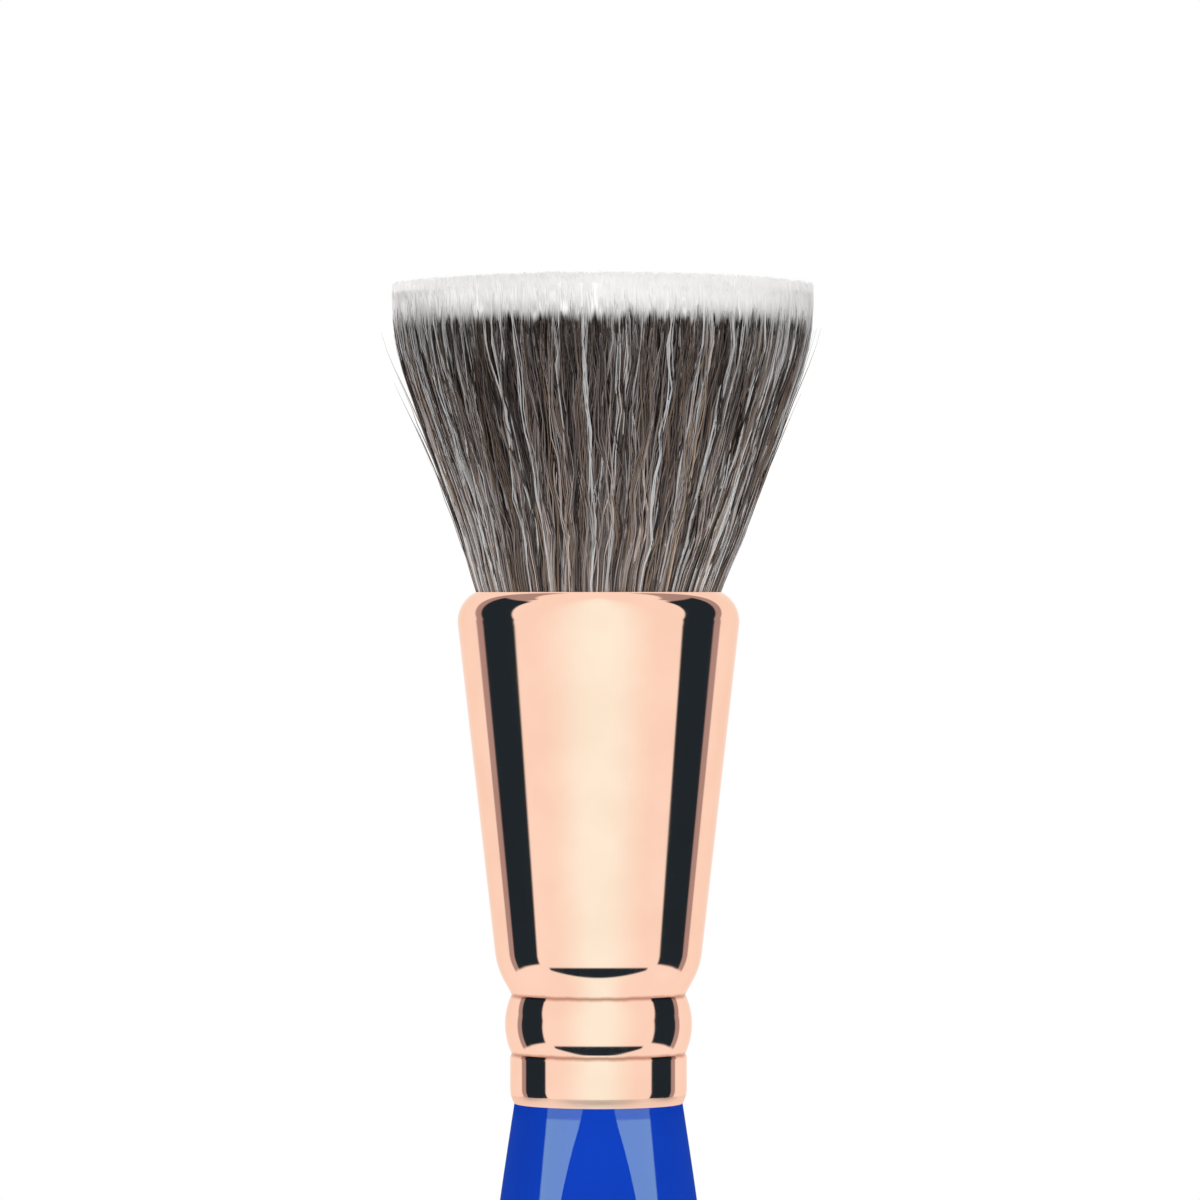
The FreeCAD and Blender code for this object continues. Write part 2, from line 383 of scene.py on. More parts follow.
def make_ferrule(material):
    outside = ferrule_outline()
    outline = outside + inner_wall(outside, ferrule_wall)[::-1]
    ferrule = lathe("ferrule_shell", outline, ferrule_turns)
    ferrule.data.set_sharp_from_angle(angle=math.radians(40))
    return dress(ferrule, material, "ferrule_plate", "ferrule")


def along_grip(drop, neck, belly, tail):
    """A size of the grip at a drop below the lip: it swells from neck to belly and falls to the tail."""
    if drop < belly_drop:
        return neck + (belly - neck) * math.sin(math.pi / 2 * drop / belly_drop)
    return tail + (belly - tail) * math.cos(math.pi / 2 * (drop - belly_drop) / (lip_height - belly_drop))


def grip_ring(radius, flat_depth, height, flat_points=10, arc_steps=28):
    """One section of the grip: a circle with three flats, whose edges are a little eased."""
    flat_distance = radius - flat_depth
    half_flat = math.sqrt(radius ** 2 - flat_distance ** 2)
    eased_half_flat = half_flat - min(flat_edge_round, half_flat / 2)
    edge_angle = math.atan2(half_flat, flat_distance) + flat_edge_round / radius
    level = Vector((0, 0, height))
    ring = []
    for side in range(3):
        facing = math.radians(-90 + 120 * side)
        outward = Vector((math.cos(facing), math.sin(facing), 0))
        along = Vector((-outward.y, outward.x, 0))
        for index in range(flat_points):
            place = eased_half_flat * (2 * index / (flat_points - 1) - 1)
            ring.append(outward * flat_distance + along * place + level)
        for index in range(arc_steps):
            angle = edge_angle + (math.radians(120) - 2 * edge_angle) * index / (arc_steps - 1)
            spoke = outward * math.cos(angle) + along * math.sin(angle)
            ring.append(spoke * radius + level)
    return ring


def make_handle(material):
    lip_radius = collar_radius - lip_bend_radius * (1 - math.cos(lip_turn))
    tenon_radius = lip_radius - ferrule_wall * math.cos(lip_turn) - tenon_clearance

    def ring(drop, inset=0.0):
        radius = along_grip(drop, lip_radius, belly_radius, tail_radius) - inset
        flat_depth = along_grip(drop, neck_flat_depth, belly_flat_depth, tail_flat_depth)
        return grip_ring(radius, flat_depth, lip_height - drop)

    rings = []
    for step in range(tail_steps + 1):
        angle = math.pi / 2 * (1 - step / tail_steps)
        height = tail_round * (1 - math.sin(angle))
        rings.append(ring(lip_height - height, tail_round * (1 - math.cos(angle))))
    grip_length = lip_height - tail_round
    for step in range(1, grip_steps + 1):
        drop_share = (1 - step / grip_steps) ** grip_step_power
        rings.append(ring(grip_length * drop_share))
    for radius, height in (
        (tenon_radius, lip_height),
        (tenon_radius, tenon_top - tenon_chamfer),
        (tenon_radius - tenon_chamfer, tenon_top),
    ):
        rings.append(grip_ring(radius, neck_flat_depth, height))

    points = []
    for ring_points in rings:
        points += ring_points
    faces = []
    count = len(rings[0])
    for level in range(1, len(rings)):
        below = (level - 1) * count
        above = level * count
        for index in range(count):
            following = (index + 1) % count
            faces.append((below + index, below + following, above + following, above + index))
    faces.append(tuple(range(count))[::-1])
    faces.append(tuple(range(len(points) - count, len(points))))
    handle = new_piece("handle_grip", points, faces)
    handle.data.set_sharp_from_angle(angle=math.radians(35))
    return dress(handle, material, "handle_lacquer", "handle")


# Fibres

mouth_bore_bend = mouth_bend_radius - ferrule_wall
throat_radius = mouth_radius - mouth_bend_radius + mouth_bore_bend * math.cos(mouth_turn) - throat_clearance
throat_height = mouth_height - ferrule_wall * math.sin(mouth_turn)
brow_bottom = tips_height - brow_height
flare_slope = (head_radius - throat_radius) / (brow_bottom - throat_height)
brow_blend = 1.6 * MM
golden_angle = math.pi * (3 - math.sqrt(5))

bundle_inputs = {
    "Count": "NodeSocketInt",
    "Steps": "NodeSocketInt",
    "Seed": "NodeSocketInt",
    "Clumps": "NodeSocketInt",
    "Side Angle": "NodeSocketFloat",
    "Side Spread": "NodeSocketFloat",
    "Inner Share": "NodeSocketFloat",
    "Outer Share": "NodeSocketFloat",
    "Clump Spread": "NodeSocketFloat",
    "Foot Height": "NodeSocketFloat",
    "Foot Spread": "NodeSocketFloat",
    "Foot Share": "NodeSocketFloat",
    "Top Height": "NodeSocketFloat",
    "Top Spread": "NodeSocketFloat",
    "Clump Lean": "NodeSocketFloat",
    "Clump Wave": "NodeSocketFloat",
    "Clump Wave Length": "NodeSocketFloat",
    "Fibre Wave": "NodeSocketFloat",
    "Fibre Wave Length": "NodeSocketFloat",
    "Stray": "NodeSocketFloat",
    "Radius": "NodeSocketFloat",
    "Tip Share": "NodeSocketFloat",
    "Material": "NodeSocketMaterial",
}


def bundle_tree():
    """Fibres that stand in clumps, spread with the head's flare and wander a little on their way up."""
    tree = bpy.data.node_groups.new("fibre_bundle", "GeometryNodeTree")
    for name, kind in bundle_inputs.items():
        tree.interface.new_socket(name, in_out="INPUT", socket_type=kind)
    tree.interface.new_socket("Geometry", in_out="OUTPUT", socket_type="NodeSocketGeometry")
    net = Net(tree)
    given = net.node("NodeGroupInput").outputs

    line = net.node("GeometryNodeCurvePrimitiveLine", {"End": (0, 0, 1)}).outputs[0]
    line = net.node("GeometryNodeResampleCurve", {"Curve": line, "Count": given["Steps"]}).outputs[0]
    feet = net.node("GeometryNodePoints", {"Count": given["Count"]}).outputs[0]
    fibres = net.node("GeometryNodeInstanceOnPoints", {"Points": feet, "Instance": line}).outputs[0]
    fibres = net.node("GeometryNodeRealizeInstances", {"Geometry": fibres}).outputs[0]

    number = net.node("GeometryNodeCurveOfPoint").outputs["Curve Index"]
    along = net.node("GeometryNodeSplineParameter").outputs["Factor"]
    clump = net.math("MODULO", number, given["Clumps"])

    def chance(low, high, owner, draw):
        seed = net.math("ADD", given["Seed"], float(draw))
        inputs = {2: low, 3: high, 7: owner, 8: seed}
        return net.node("FunctionNodeRandomValue", inputs, data_type="FLOAT").outputs[1]

    def luck(fibre_share, fibre_draw, clump_draw):
        """Chance from 0 to 1, partly a fibre's own and partly its clump's."""
        own = chance(0.0, fibre_share, number, fibre_draw)
        shared = chance(0.0, 1 - fibre_share, clump, clump_draw)
        return net.math("ADD", own, shared)

    def vector(x, y, z):
        return net.node("ShaderNodeCombineXYZ", {0: x, 1: y, 2: z}).outputs[0]

    def vectors(operation, *values):
        return net.node("ShaderNodeVectorMath", dict(enumerate(values)), operation=operation).outputs[0]

    def scaled(value, factor):
        return net.node("ShaderNodeVectorMath", {0: value, "Scale": factor}, operation="SCALE").outputs[0]

    def store(geometry, name, value, domain, data_type):
        inputs = {"Geometry": geometry, "Name": name, "Value": value}
        kind = {"domain": domain, "data_type": data_type}
        return net.node("GeometryNodeStoreNamedAttribute", inputs, **kind).outputs[0]

    def stored(name, data_type):
        return net.node("GeometryNodeInputNamedAttribute", {"Name": name}, data_type=data_type).outputs[0]

    # Places of the clumps and of their fibres, in shares of the head's radius
    inner_area = net.math("POWER", given["Inner Share"], 2.0)
    outer_area = net.math("POWER", given["Outer Share"], 2.0)
    rank_share = net.math("DIVIDE", net.math("ADD", clump, 0.5), given["Clumps"])
    ring_area = net.math("SUBTRACT", outer_area, inner_area)
    clump_area = net.math("MULTIPLY_ADD", ring_area, rank_share, inner_area)
    clump_share = net.math("SQRT", clump_area)
    clump_turn = chance(-clump_turn_spread, clump_turn_spread, clump, 1)
    seed_turn = net.math("MULTIPLY_ADD", given["Seed"], turn_per_seed, clump_turn)
    turns = net.math("MULTIPLY_ADD", clump, golden_angle / (2 * math.pi), seed_turn)
    turns = net.math("SUBTRACT", net.math("FRACT", turns), 0.5)
    turn = net.math("MULTIPLY_ADD", turns, given["Side Spread"], given["Side Angle"])
    clump_place = vector(
        net.math("MULTIPLY", clump_share, net.math("COSINE", turn)),
        net.math("MULTIPLY", clump_share, net.math("SINE", turn)),
        0.0,
    )
    offset = vector(chance(-1.0, 1.0, number, 2), chance(-1.0, 1.0, number, 3), 0.0)
    place = vectors("ADD", clump_place, scaled(offset, given["Clump Spread"]))
    length = net.node("ShaderNodeVectorMath", {0: place}, operation="LENGTH").outputs["Value"]
    held_share = net.math("MINIMUM", 1.0, net.math("DIVIDE", given["Outer Share"], length))
    place = scaled(place, held_share)
    share = net.math("MULTIPLY", length, held_share)

    # Height of each point, under a crown that drops a little to its rim
    rim_drop = net.math("MULTIPLY", net.math("POWER", share, rim_drop_power), crown_drop)
    shortfall = net.math("MULTIPLY", luck(fibre_luck_share, 4, 9), given["Top Spread"])
    top = net.math("SUBTRACT", net.math("SUBTRACT", given["Top Height"], rim_drop), shortfall)
    foot_luck_share = luck(fibre_luck_share, 10, 13)
    foot = net.math("MULTIPLY_ADD", foot_luck_share, given["Foot Spread"], given["Foot Height"])
    height = net.math("MULTIPLY_ADD", net.math("SUBTRACT", top, foot), along, foot)
    cone = net.math("MULTIPLY_ADD", net.math("SUBTRACT", height, throat_height), flare_slope, throat_radius)
    flare = net.math("SMOOTH_MIN", cone, head_radius, brow_blend)

    # Wandering, which starts at the mouth and calms near the tips
    free_share = net.ramp(height, mouth_height + wave_start, mouth_height + wave_full)
    calm_share = net.ramp(height, tips_height - wave_calm_length, tips_height, 1.0, wave_calm_share)
    freedom_share = net.math("MULTIPLY", free_share, calm_share)

    outward = vectors("NORMALIZE", place)
    sideways = vectors("CROSS_PRODUCT", (0.0, 0.0, 1.0), outward)

    def wander(owner, amount, wave_length, draw):
        lane = net.math("MULTIPLY", owner, wave_lane)
        layer = net.math("ADD", given["Seed"], float(draw))
        at = vector(lane, net.math("DIVIDE", height, wave_length), layer)
        noise = net.node("ShaderNodeTexNoise", {"Vector": at, "Scale": 1.0, "Detail": 1.0}).outputs["Color"]
        centred = vectors("SUBTRACT", noise, (0.5, 0.5, 0.5))
        swing = net.node("ShaderNodeSeparateXYZ", {"Vector": centred}).outputs
        aside = scaled(sideways, net.math("MULTIPLY", swing["X"], 2.0))
        inward = scaled(outward, net.math("MULTIPLY", swing["Y"], 2.0 * depth_wave_share))
        return scaled(scaled(vectors("ADD", aside, inward), amount), freedom_share)

    spot = vectors("ADD", scaled(place, flare), vector(0.0, 0.0, height))
    spot = vectors("ADD", spot, wander(clump, given["Clump Wave"], given["Clump Wave Length"], 5))
    spot = vectors("ADD", spot, wander(number, given["Fibre Wave"], given["Fibre Wave Length"], 6))
    lean = net.math("MULTIPLY", along, given["Clump Lean"])
    lean = net.math("MULTIPLY", chance(-1.0, 1.0, clump, 12), lean)
    spot = vectors("ADD", spot, scaled(sideways, lean))
    stray_share = net.math("POWER", along, stray_power)
    stray_share = net.math("MULTIPLY", stray_share, chance(least_stray_share, 1.0, number, 7))
    spot = vectors("ADD", spot, scaled(outward, net.math("MULTIPLY", stray_share, given["Stray"])))
    drift = net.ramp(height, mouth_height, mouth_height + wave_full, 0.0, head_drift)
    spot = vectors("ADD", spot, vector(drift, 0.0, 0.0))
    fibres = net.node("GeometryNodeSetPosition", {"Geometry": fibres, "Position": spot}).outputs[0]

    # Round fibres with fine tips, each with its own shade and its run from foot to tip on the map
    shade = net.math("POWER", luck(fibre_shade_share, 8, 11), shade_power)
    fibres = store(fibres, "shade", shade, "POINT", "FLOAT")
    run = net.ramp(height, mouth_height - fibre_foot_drop, tips_height)
    fibres = store(fibres, "run", run, "POINT", "FLOAT")
    section = {"Resolution": fibre_sides, "Radius": given["Radius"]}
    profile = net.node("GeometryNodeCurvePrimitiveCircle", section).outputs[0]
    foot_taper = net.ramp(along, 0.0, foot_taper_share, given["Foot Share"], 1.0)
    tip_taper = net.ramp(along, tip_taper_share, 1.0, 1.0, given["Tip Share"])
    mesh = net.node("GeometryNodeCurveToMesh", {
        "Curve": fibres,
        "Profile Curve": profile,
        "Scale": net.math("MULTIPLY", foot_taper, tip_taper),
        "Fill Caps": True,
    }).outputs[0]
    side = net.math("MODULO", net.node("GeometryNodeInputIndex").outputs[0], float(fibre_sides))
    across = net.math("MULTIPLY_ADD", stored("shade", "FLOAT"), map_span_share, map_margin_share)
    across = net.math("MULTIPLY_ADD", side, map_step_share, across)
    up = net.math("MULTIPLY_ADD", stored("run", "FLOAT"), map_span_share, map_margin_share)
    up = net.math("MULTIPLY_ADD", net.math("MODULO", side, 2.0), map_step_share, up)
    mesh = store(mesh, "place_on_map", vector(across, up, 0.0), "POINT", "FLOAT2")
    mesh = store(mesh, "OFBake", stored("place_on_map", "FLOAT_VECTOR"), "CORNER", "FLOAT2")
    mesh = net.node("GeometryNodeSetShadeSmooth", {"Geometry": mesh}).outputs[0]
    mesh = net.node("GeometryNodeRealizeInstances", {"Geometry": mesh}).outputs[0]
    mesh = net.node("GeometryNodeSetMaterial", {"Geometry": mesh, "Material": given["Material"]}).outputs[0]
    net.node("NodeGroupOutput", {"Geometry": mesh})
    return tree


def grow(name, tree, settings, slot, *nodes):
    """A bundle of fibres as a plain mesh. White ones let light through, so they cast no shadow."""
    piece = bpy.data.objects.new(name, bpy.data.meshes.new(name))
    bpy.context.scene.collection.objects.link(piece)
    modifier = piece.modifiers.new("fibres", "NODES")
    modifier.node_group = tree
    for item in tree.interface.items_tree:
        if item.in_out == "INPUT":
            modifier[item.identifier] = settings[item.name]
    graph = bpy.context.evaluated_depsgraph_get()
    mesh = bpy.data.meshes.new_from_object(piece.evaluated_get(graph), depsgraph=graph)
    piece.modifiers.remove(modifier)
    piece.data = mesh
    for leftover in ("shade", "run", "place_on_map"):
        mesh.attributes.remove(mesh.attributes[leftover])
    piece.visible_glossy = False
    piece.visible_shadow = slot != "white_fibre"
    return dress(piece, settings["Material"], slot, *nodes)


def head_edge(height):
    """The head's radius at a height, rounded at the brow as the fibres are."""
    cone = throat_radius + flare_slope * (height - throat_height)
    blend_share = max(brow_blend - abs(cone - head_radius), 0) / brow_blend
    return min(cone, head_radius) - blend_share ** 3 * brow_blend / 6


def make_core(material):
    """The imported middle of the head, seen only between its fibres, which fills out under the white tips."""
    foot = mouth_height - fibre_foot_drop
    rim_top = tips_height - crown_drop - core_rim_drop
    fill_bottom = rim_top - tip_length - core_fill_length
    root_radius = head_edge(foot) * core_share * core_root_share
    outline = [Vector((0, root_height)), Vector((root_radius, root_height))]
    for step in range(core_steps + 1):
        height = foot + (rim_top - foot) * step / core_steps
        fill_share = min(max((height - fill_bottom) / core_fill_length, 0), 1)
        share = core_share + (core_tip_share - core_share) * fill_share
        outline.append(Vector((head_edge(height) * share, height)))
    outline.append(Vector((head_radius * (core_tip_share - core_rim_share), rim_top)))
    outline.append(Vector((head_radius * (core_tip_share - core_well_share), rim_top - core_rim_drop)))
    outline.append(Vector((0, rim_top - core_rim_drop)))
    core = lathe("fibre_core", outline, core_turns)
    for vertex in core.data.vertices:
        risen_share = min(max((vertex.co.z - mouth_height) / wave_full, 0), 1)
        vertex.co.x += head_drift * risen_share ** 2 * (3 - 2 * risen_share)
    core.data.set_sharp_from_angle(angle=math.radians(40))
    core.visible_glossy = False
    return dress(core, material, "dark_fibre", "dark_fibres")


def make_head():
    tree = bundle_tree()
    dark = fibre_finish("dark_fibre")
    tan = fibre_finish("tan_fibre")
    white = fibre_finish("white_fibre")
    make_core(core_finish())
    shell = {
        "Steps": 17,
        "Side Angle": 0.0,
        "Side Spread": 2 * math.pi,
        "Inner Share": 0.9,
        "Outer Share": 1.0,
        "Clump Spread": 0.01,
        "Foot Height": mouth_height - fibre_foot_drop,
        "Foot Spread": 0.0,
        "Foot Share": 1.0,
        "Clump Lean": 1.4 * MM,
        "Clump Wave": 1.0 * MM,
        "Clump Wave Length": 6.0 * MM,
        "Fibre Wave": 0.5 * MM,
        "Fibre Wave Length": 4.2 * MM,
        "Stray": 0.0,
        "Radius": 0.058 * MM,
        "Tip Share": 0.15,
    }
    dark_top = {"Top Height": tips_height - tip_length + 1.3 * MM, "Top Spread": 2.6 * MM, "Material": dark}
    tan_top = {"Top Height": tips_height - tip_length + 1.0 * MM, "Top Spread": 2.4 * MM, "Material": tan}
    white_top = {"Top Height": tips_height, "Top Spread": 0.4 * MM, "Material": white, "Tip Share": 0.35}
    short = {
        **shell,
        **white_top,
        "Steps": 3,
        "Foot Height": tips_height - 4.9 * MM,
        "Foot Spread": 3.5 * MM,
        "Foot Share": 0.15,
        "Clump Spread": 0.02,
        "Clump Lean": 0.0,
        "Clump Wave": 0.0,
        "Fibre Wave": 0.0,
    }
    for number in range(3):
        grow(f"dark_fibres_{number + 1}", tree, {
            **shell, **dark_top, "Count": 2000, "Clumps": 650, "Seed": 11 + number,
        }, "dark_fibre", "dark_fibres")
        grow(f"white_rim_{number + 1}", tree, {
            **short, "Count": 10000, "Clumps": 600, "Seed": 61 + number,
            "Inner Share": 0.95, "Outer Share": 0.99, "Radius": 0.042 * MM,
            "Top Spread": 1.2 * MM, "Tip Share": 0.12, "Stray": 0.16 * MM,
        }, "white_fibre", "white_fibres")
    grow("white_tips_1", tree, {
        **short, "Count": 12000, "Clumps": 3000, "Seed": 51, "Inner Share": 0.0, "Outer Share": 0.93,
    }, "white_fibre", "white_fibres")
    grow("white_fibres_1", tree, {
        **shell, **white_top, "Count": 1700, "Clumps": 480, "Seed": 31, "Clump Spread": 0.006,
    }, "white_fibre", "white_fibres")
    for number, side in enumerate((195, -15)):
        grow(f"white_edge_{number + 1}", tree, {
            **shell, **white_top, "Count": 100, "Clumps": 30, "Seed": 41 + number, "Clump Spread": 0.006,
            "Inner Share": 0.98, "Side Angle": math.radians(side), "Side Spread": math.radians(60),
        }, "white_fibre", "white_fibres")
    grow("tan_fibres_1", tree, {
        **shell, **tan_top, "Count": 1700, "Clumps": 400, "Seed": 71,
    }, "tan_fibre", "tan_fibres")
    grow("loose_fibres_1", tree, {
        **shell, **dark_top, "Count": 70, "Clumps": 70, "Seed": 81, "Inner Share": 0.99, "Stray": 1.0 * MM,
        "Top Spread": 14 * MM, "Radius": 0.04 * MM, "Clump Lean": 2.5 * MM,
    }, "dark_fibre", "dark_fibres")


# Finishes


def new_effect(name, inputs, outputs):
    """The net of a new shader node group, and the group's input sockets."""
    tree = bpy.data.node_groups.new(name, "ShaderNodeTree")
    for socket_name, kind in inputs.items():
        tree.interface.new_socket(socket_name, in_out="INPUT", socket_type=kind)
    for socket_name, kind in outputs.items():
        tree.interface.new_socket(socket_name, in_out="OUTPUT", socket_type=kind)
    net = Net(tree)
    return net, net.node("NodeGroupInput").outputs


def make_grain():
    """Fine unevenness in the piece's own space, as coarse or stretched as its scale says."""
    sizes = {"Scale": "NodeSocketVector", "Detail": "NodeSocketFloat"}
    net, given = new_effect("surface_grain", sizes, {"Fac": "NodeSocketFloat"})
    place = net.node("ShaderNodeTexCoord").outputs["Object"]
    scaled = net.node("ShaderNodeMapping", {"Vector": place, "Scale": given["Scale"]}).outputs[0]
    noise_inputs = {"Vector": scaled, "Scale": 1.0, "Detail": given["Detail"]}
    noise = net.node("ShaderNodeTexNoise", noise_inputs).outputs["Fac"]
    net.node("NodeGroupOutput", {"Fac": noise})
    return net.tree


def make_fibre_tone():
    """A filament's colour: each has a shade between two, and goes over to its tip's colour at the top."""
    colours = {"Deep": "NodeSocketColor", "Bright": "NodeSocketColor", "Tip": "NodeSocketColor"}
    outputs = {"Color": "NodeSocketColor", "Roughness": "NodeSocketFloat"}
    net, given = new_effect("fibre_tone", colours, outputs)
    place = net.node("ShaderNodeUVMap", uv_map="OFBake").outputs[0]
    parts = net.node("ShaderNodeSeparateXYZ", {"Vector": place}).outputs
    dimming = net.ramp(parts["Y"], dim_start_share, dim_full_share, 1.0, dim_share)
    colour = net.mix(net.math("MULTIPLY", parts["X"], dimming), given["Deep"], given["Bright"])
    colour = net.mix(net.ramp(parts["Y"], tip_start_share, tip_full_share), colour, given["Tip"])
    roughness = net.ramp(parts["X"], 0.0, 1.0, 0.4, 0.6)
    net.node("NodeGroupOutput", {"Color": colour, "Roughness": roughness})
    return net.tree


surface_grain = make_grain()
fibre_tone = make_fibre_tone()


def grain(net, across, along, detail):
    """The grain at a material's own scale, counted per metre across and along the brush."""
    inputs = {"Scale": (across, across, along), "Detail": detail}
    return net.node("ShaderNodeGroup", inputs, node_tree=surface_grain).outputs["Fac"]


def mottled(net, noise, first, second):
    """A colour that wanders between two with the grain."""
    return net.mix(net.ramp(noise, grain_low, grain_high), first, second)


def bumped(net, height, strength, distance):
    """The normals of a surface that the grain disturbs."""
    inputs = {"Strength": strength, "Distance": distance, "Height": height}
    return net.node("ShaderNodeBump", inputs).outputs[0]


def height_up(net):
    """The height of each point in the brush's own space."""
    place = net.node("ShaderNodeTexCoord").outputs["Object"]
    return net.node("ShaderNodeSeparateXYZ", {"Vector": place}).outputs["Z"]


def fibre_finish(slot):
    """Fine filament with a little sheen."""
    material, net = new_material(slot + "_finish")
    deep, bright, tip = fibre_colours[slot]
    colours = {"Deep": deep, "Bright": bright, "Tip": tip}
    tone = net.node("ShaderNodeGroup", colours, node_tree=fibre_tone).outputs
    surface = net.node("ShaderNodeBsdfPrincipled", {
        "Base Color": tone["Color"],
        "Roughness": tone["Roughness"],
        "Specular IOR Level": 0.15,
    })
    net.node("ShaderNodeOutputMaterial", {"Surface": surface.outputs[0]})
    return material


def core_finish():
    """The depth of the head: dark between the fibres and white near the tips, streaked upwards."""
    material, net = new_material("fibre_core_finish")
    streaks = grain(net, across=2600, along=120, detail=3.0)
    edge = net.math("MULTIPLY_ADD", streaks, core_streak_reach, height_up(net))
    whiteness = net.ramp(edge, tips_height - core_white_start, tips_height - core_white_full)
    surface = net.node("ShaderNodeBsdfPrincipled", {
        "Base Color": net.mix(whiteness, mottled(net, streaks, core_deep, core_lit), core_white),
        "Roughness": 0.7,
        "Specular IOR Level": 0.1,
        "Normal": bumped(net, streaks, 0.6, core_bump),
    })
    net.node("ShaderNodeOutputMaterial", {"Surface": surface.outputs[0]})
    return material


def ferrule_plate():
    """Polished rose-gold plating with faint drawn lines and painted shade along its creases, duller at its
    lip.
    """
    material, net = new_material("rose_gold_plate")
    height = height_up(net)
    lines = grain(net, across=900, along=60, detail=4.0)
    cloud = grain(net, across=220, along=220, detail=2.0)
    # Painted shade: a reddish-brown darkening along the two creases, with a wavering edge
    crease_shade_colour = (0.5, 0.19, 0.12, 1)
    colour = mottled(net, cloud, (0.97, 0.62, 0.47, 1), (1.0, 0.655, 0.505, 1))
    wavering = net.math("MULTIPLY_ADD", net.math("SUBTRACT", lines, 0.5), crease_shade_waver, height)
    for crease_height in (lower_crease_height, upper_crease_height):
        away = net.math("ABSOLUTE", net.math("SUBTRACT", wavering, crease_height))
        colour = net.mix(net.ramp(away, 0.0, crease_shade_reach, crease_shade_share, 0.0), colour, crease_shade_colour)
    dull_top = lip_height + lip_dull_height
    dullness = net.ramp(height, dull_top - lip_dull_fade, dull_top, lip_dullness, 0.0)
    polish = net.ramp(lines, 0.25, 0.75, 0.045, 0.075)
    surface = net.node("ShaderNodeBsdfPrincipled", {
        "Base Color": colour,
        "Metallic": 1.0,
        "Specular Tint": (0.97, 0.84, 0.76, 1),
        "Roughness": net.math("ADD", polish, dullness),
        "Normal": bumped(net, lines, 0.015, fine_bump),
    })
    net.node("ShaderNodeOutputMaterial", {"Surface": surface.outputs[0]})
    return material


def handle_lacquer():
    """Deep blue paint under clear gloss, whose gloss is halved just under the ferrule's lip as painted shade
    of the ferrule.
    """
    material, net = new_material("blue_lacquer")
    cloud = grain(net, across=90, along=90, detail=3.0)
    orange_peel = grain(net, across=1400, along=1400, detail=2.0)
    # Painted shade: the coat's gloss is halved just under the ferrule's lip
    lip_shade_bottom = lip_height - lip_shade_length
    gloss = net.ramp(height_up(net), lip_shade_bottom - lip_shade_fade, lip_shade_bottom, 1.0, lip_shade_gloss_share)
    surface = net.node("ShaderNodeBsdfPrincipled", {
        "Base Color": mottled(net, cloud, (0.004, 0.041, 0.41, 1), (0.005, 0.046, 0.46, 1)),
        "Roughness": net.ramp(orange_peel, grain_low, grain_high, 0.4, 0.5),
        "Specular IOR Level": 0.0,
        "Coat Weight": gloss,
        "Coat Roughness": 0.03,
        "Normal": bumped(net, orange_peel, 0.05, fine_bump),
    })
    net.node("ShaderNodeOutputMaterial", {"Surface": surface.outputs[0]})
    return material


def hidden_finish(name, first, second, across, along, roughness):
    """A mottled finish for the pieces inside the ferrule."""
    material, net = new_material(name)
    mottle = grain(net, across, along, detail=4.0)
    most_roughness = roughness + hidden_roughness_spread
    surface = net.node("ShaderNodeBsdfPrincipled", {
        "Base Color": mottled(net, mottle, first, second),
        "Roughness": net.ramp(mottle, grain_low, grain_high, roughness, most_roughness),
        "Normal": bumped(net, mottle, 0.3, hidden_bump),
    })
    net.node("ShaderNodeOutputMaterial", {"Surface": surface.outputs[0]})
    return material


def finish_hidden_pieces():
    for node, finish in hidden_finishes.items():
        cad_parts[node].material_slots[0].material = hidden_finish(*finish)


# Studio


def make_camera():
    """Level, in front of the brush, at the height and distance that give the photograph's frame."""
    camera = bpy.data.objects.new("camera", bpy.data.cameras.new("camera"))
    camera.data.sensor_width = sensor_width
    camera.data.lens = focal_length
    distance = photo_scale * photo_size * focal_length / sensor_width
    across = (photo_size / 2 - photo_axis_column) * photo_scale
    height = lip_height + (photo_lip_row - photo_size / 2) * photo_scale
    camera.location = (across, -distance, height)
    camera.rotation_euler = (math.pi / 2, 0, 0)
    bpy.context.scene.collection.objects.link(camera)
    bpy.context.scene.camera = camera


def make_world():
    """White to the eye and to gloss, and an even soft light on everything else."""
    world = bpy.data.worlds.new("studio")
    world.use_nodes = True
    world.node_tree.nodes.clear()
    net = Net(world.node_tree)
    path = net.node("ShaderNodeLightPath").outputs
    seen = net.math("MAXIMUM", path["Is Camera Ray"], path["Is Glossy Ray"])
    seen = net.math("MAXIMUM", seen, path["Is Transmission Ray"])
    level = net.mix(seen, grey(room_light), grey(room_white))
    background = net.node("ShaderNodeBackground", {"Color": level}).outputs[0]
    net.node("ShaderNodeOutputWorld", {"Surface": background})
    bpy.context.scene.world = world


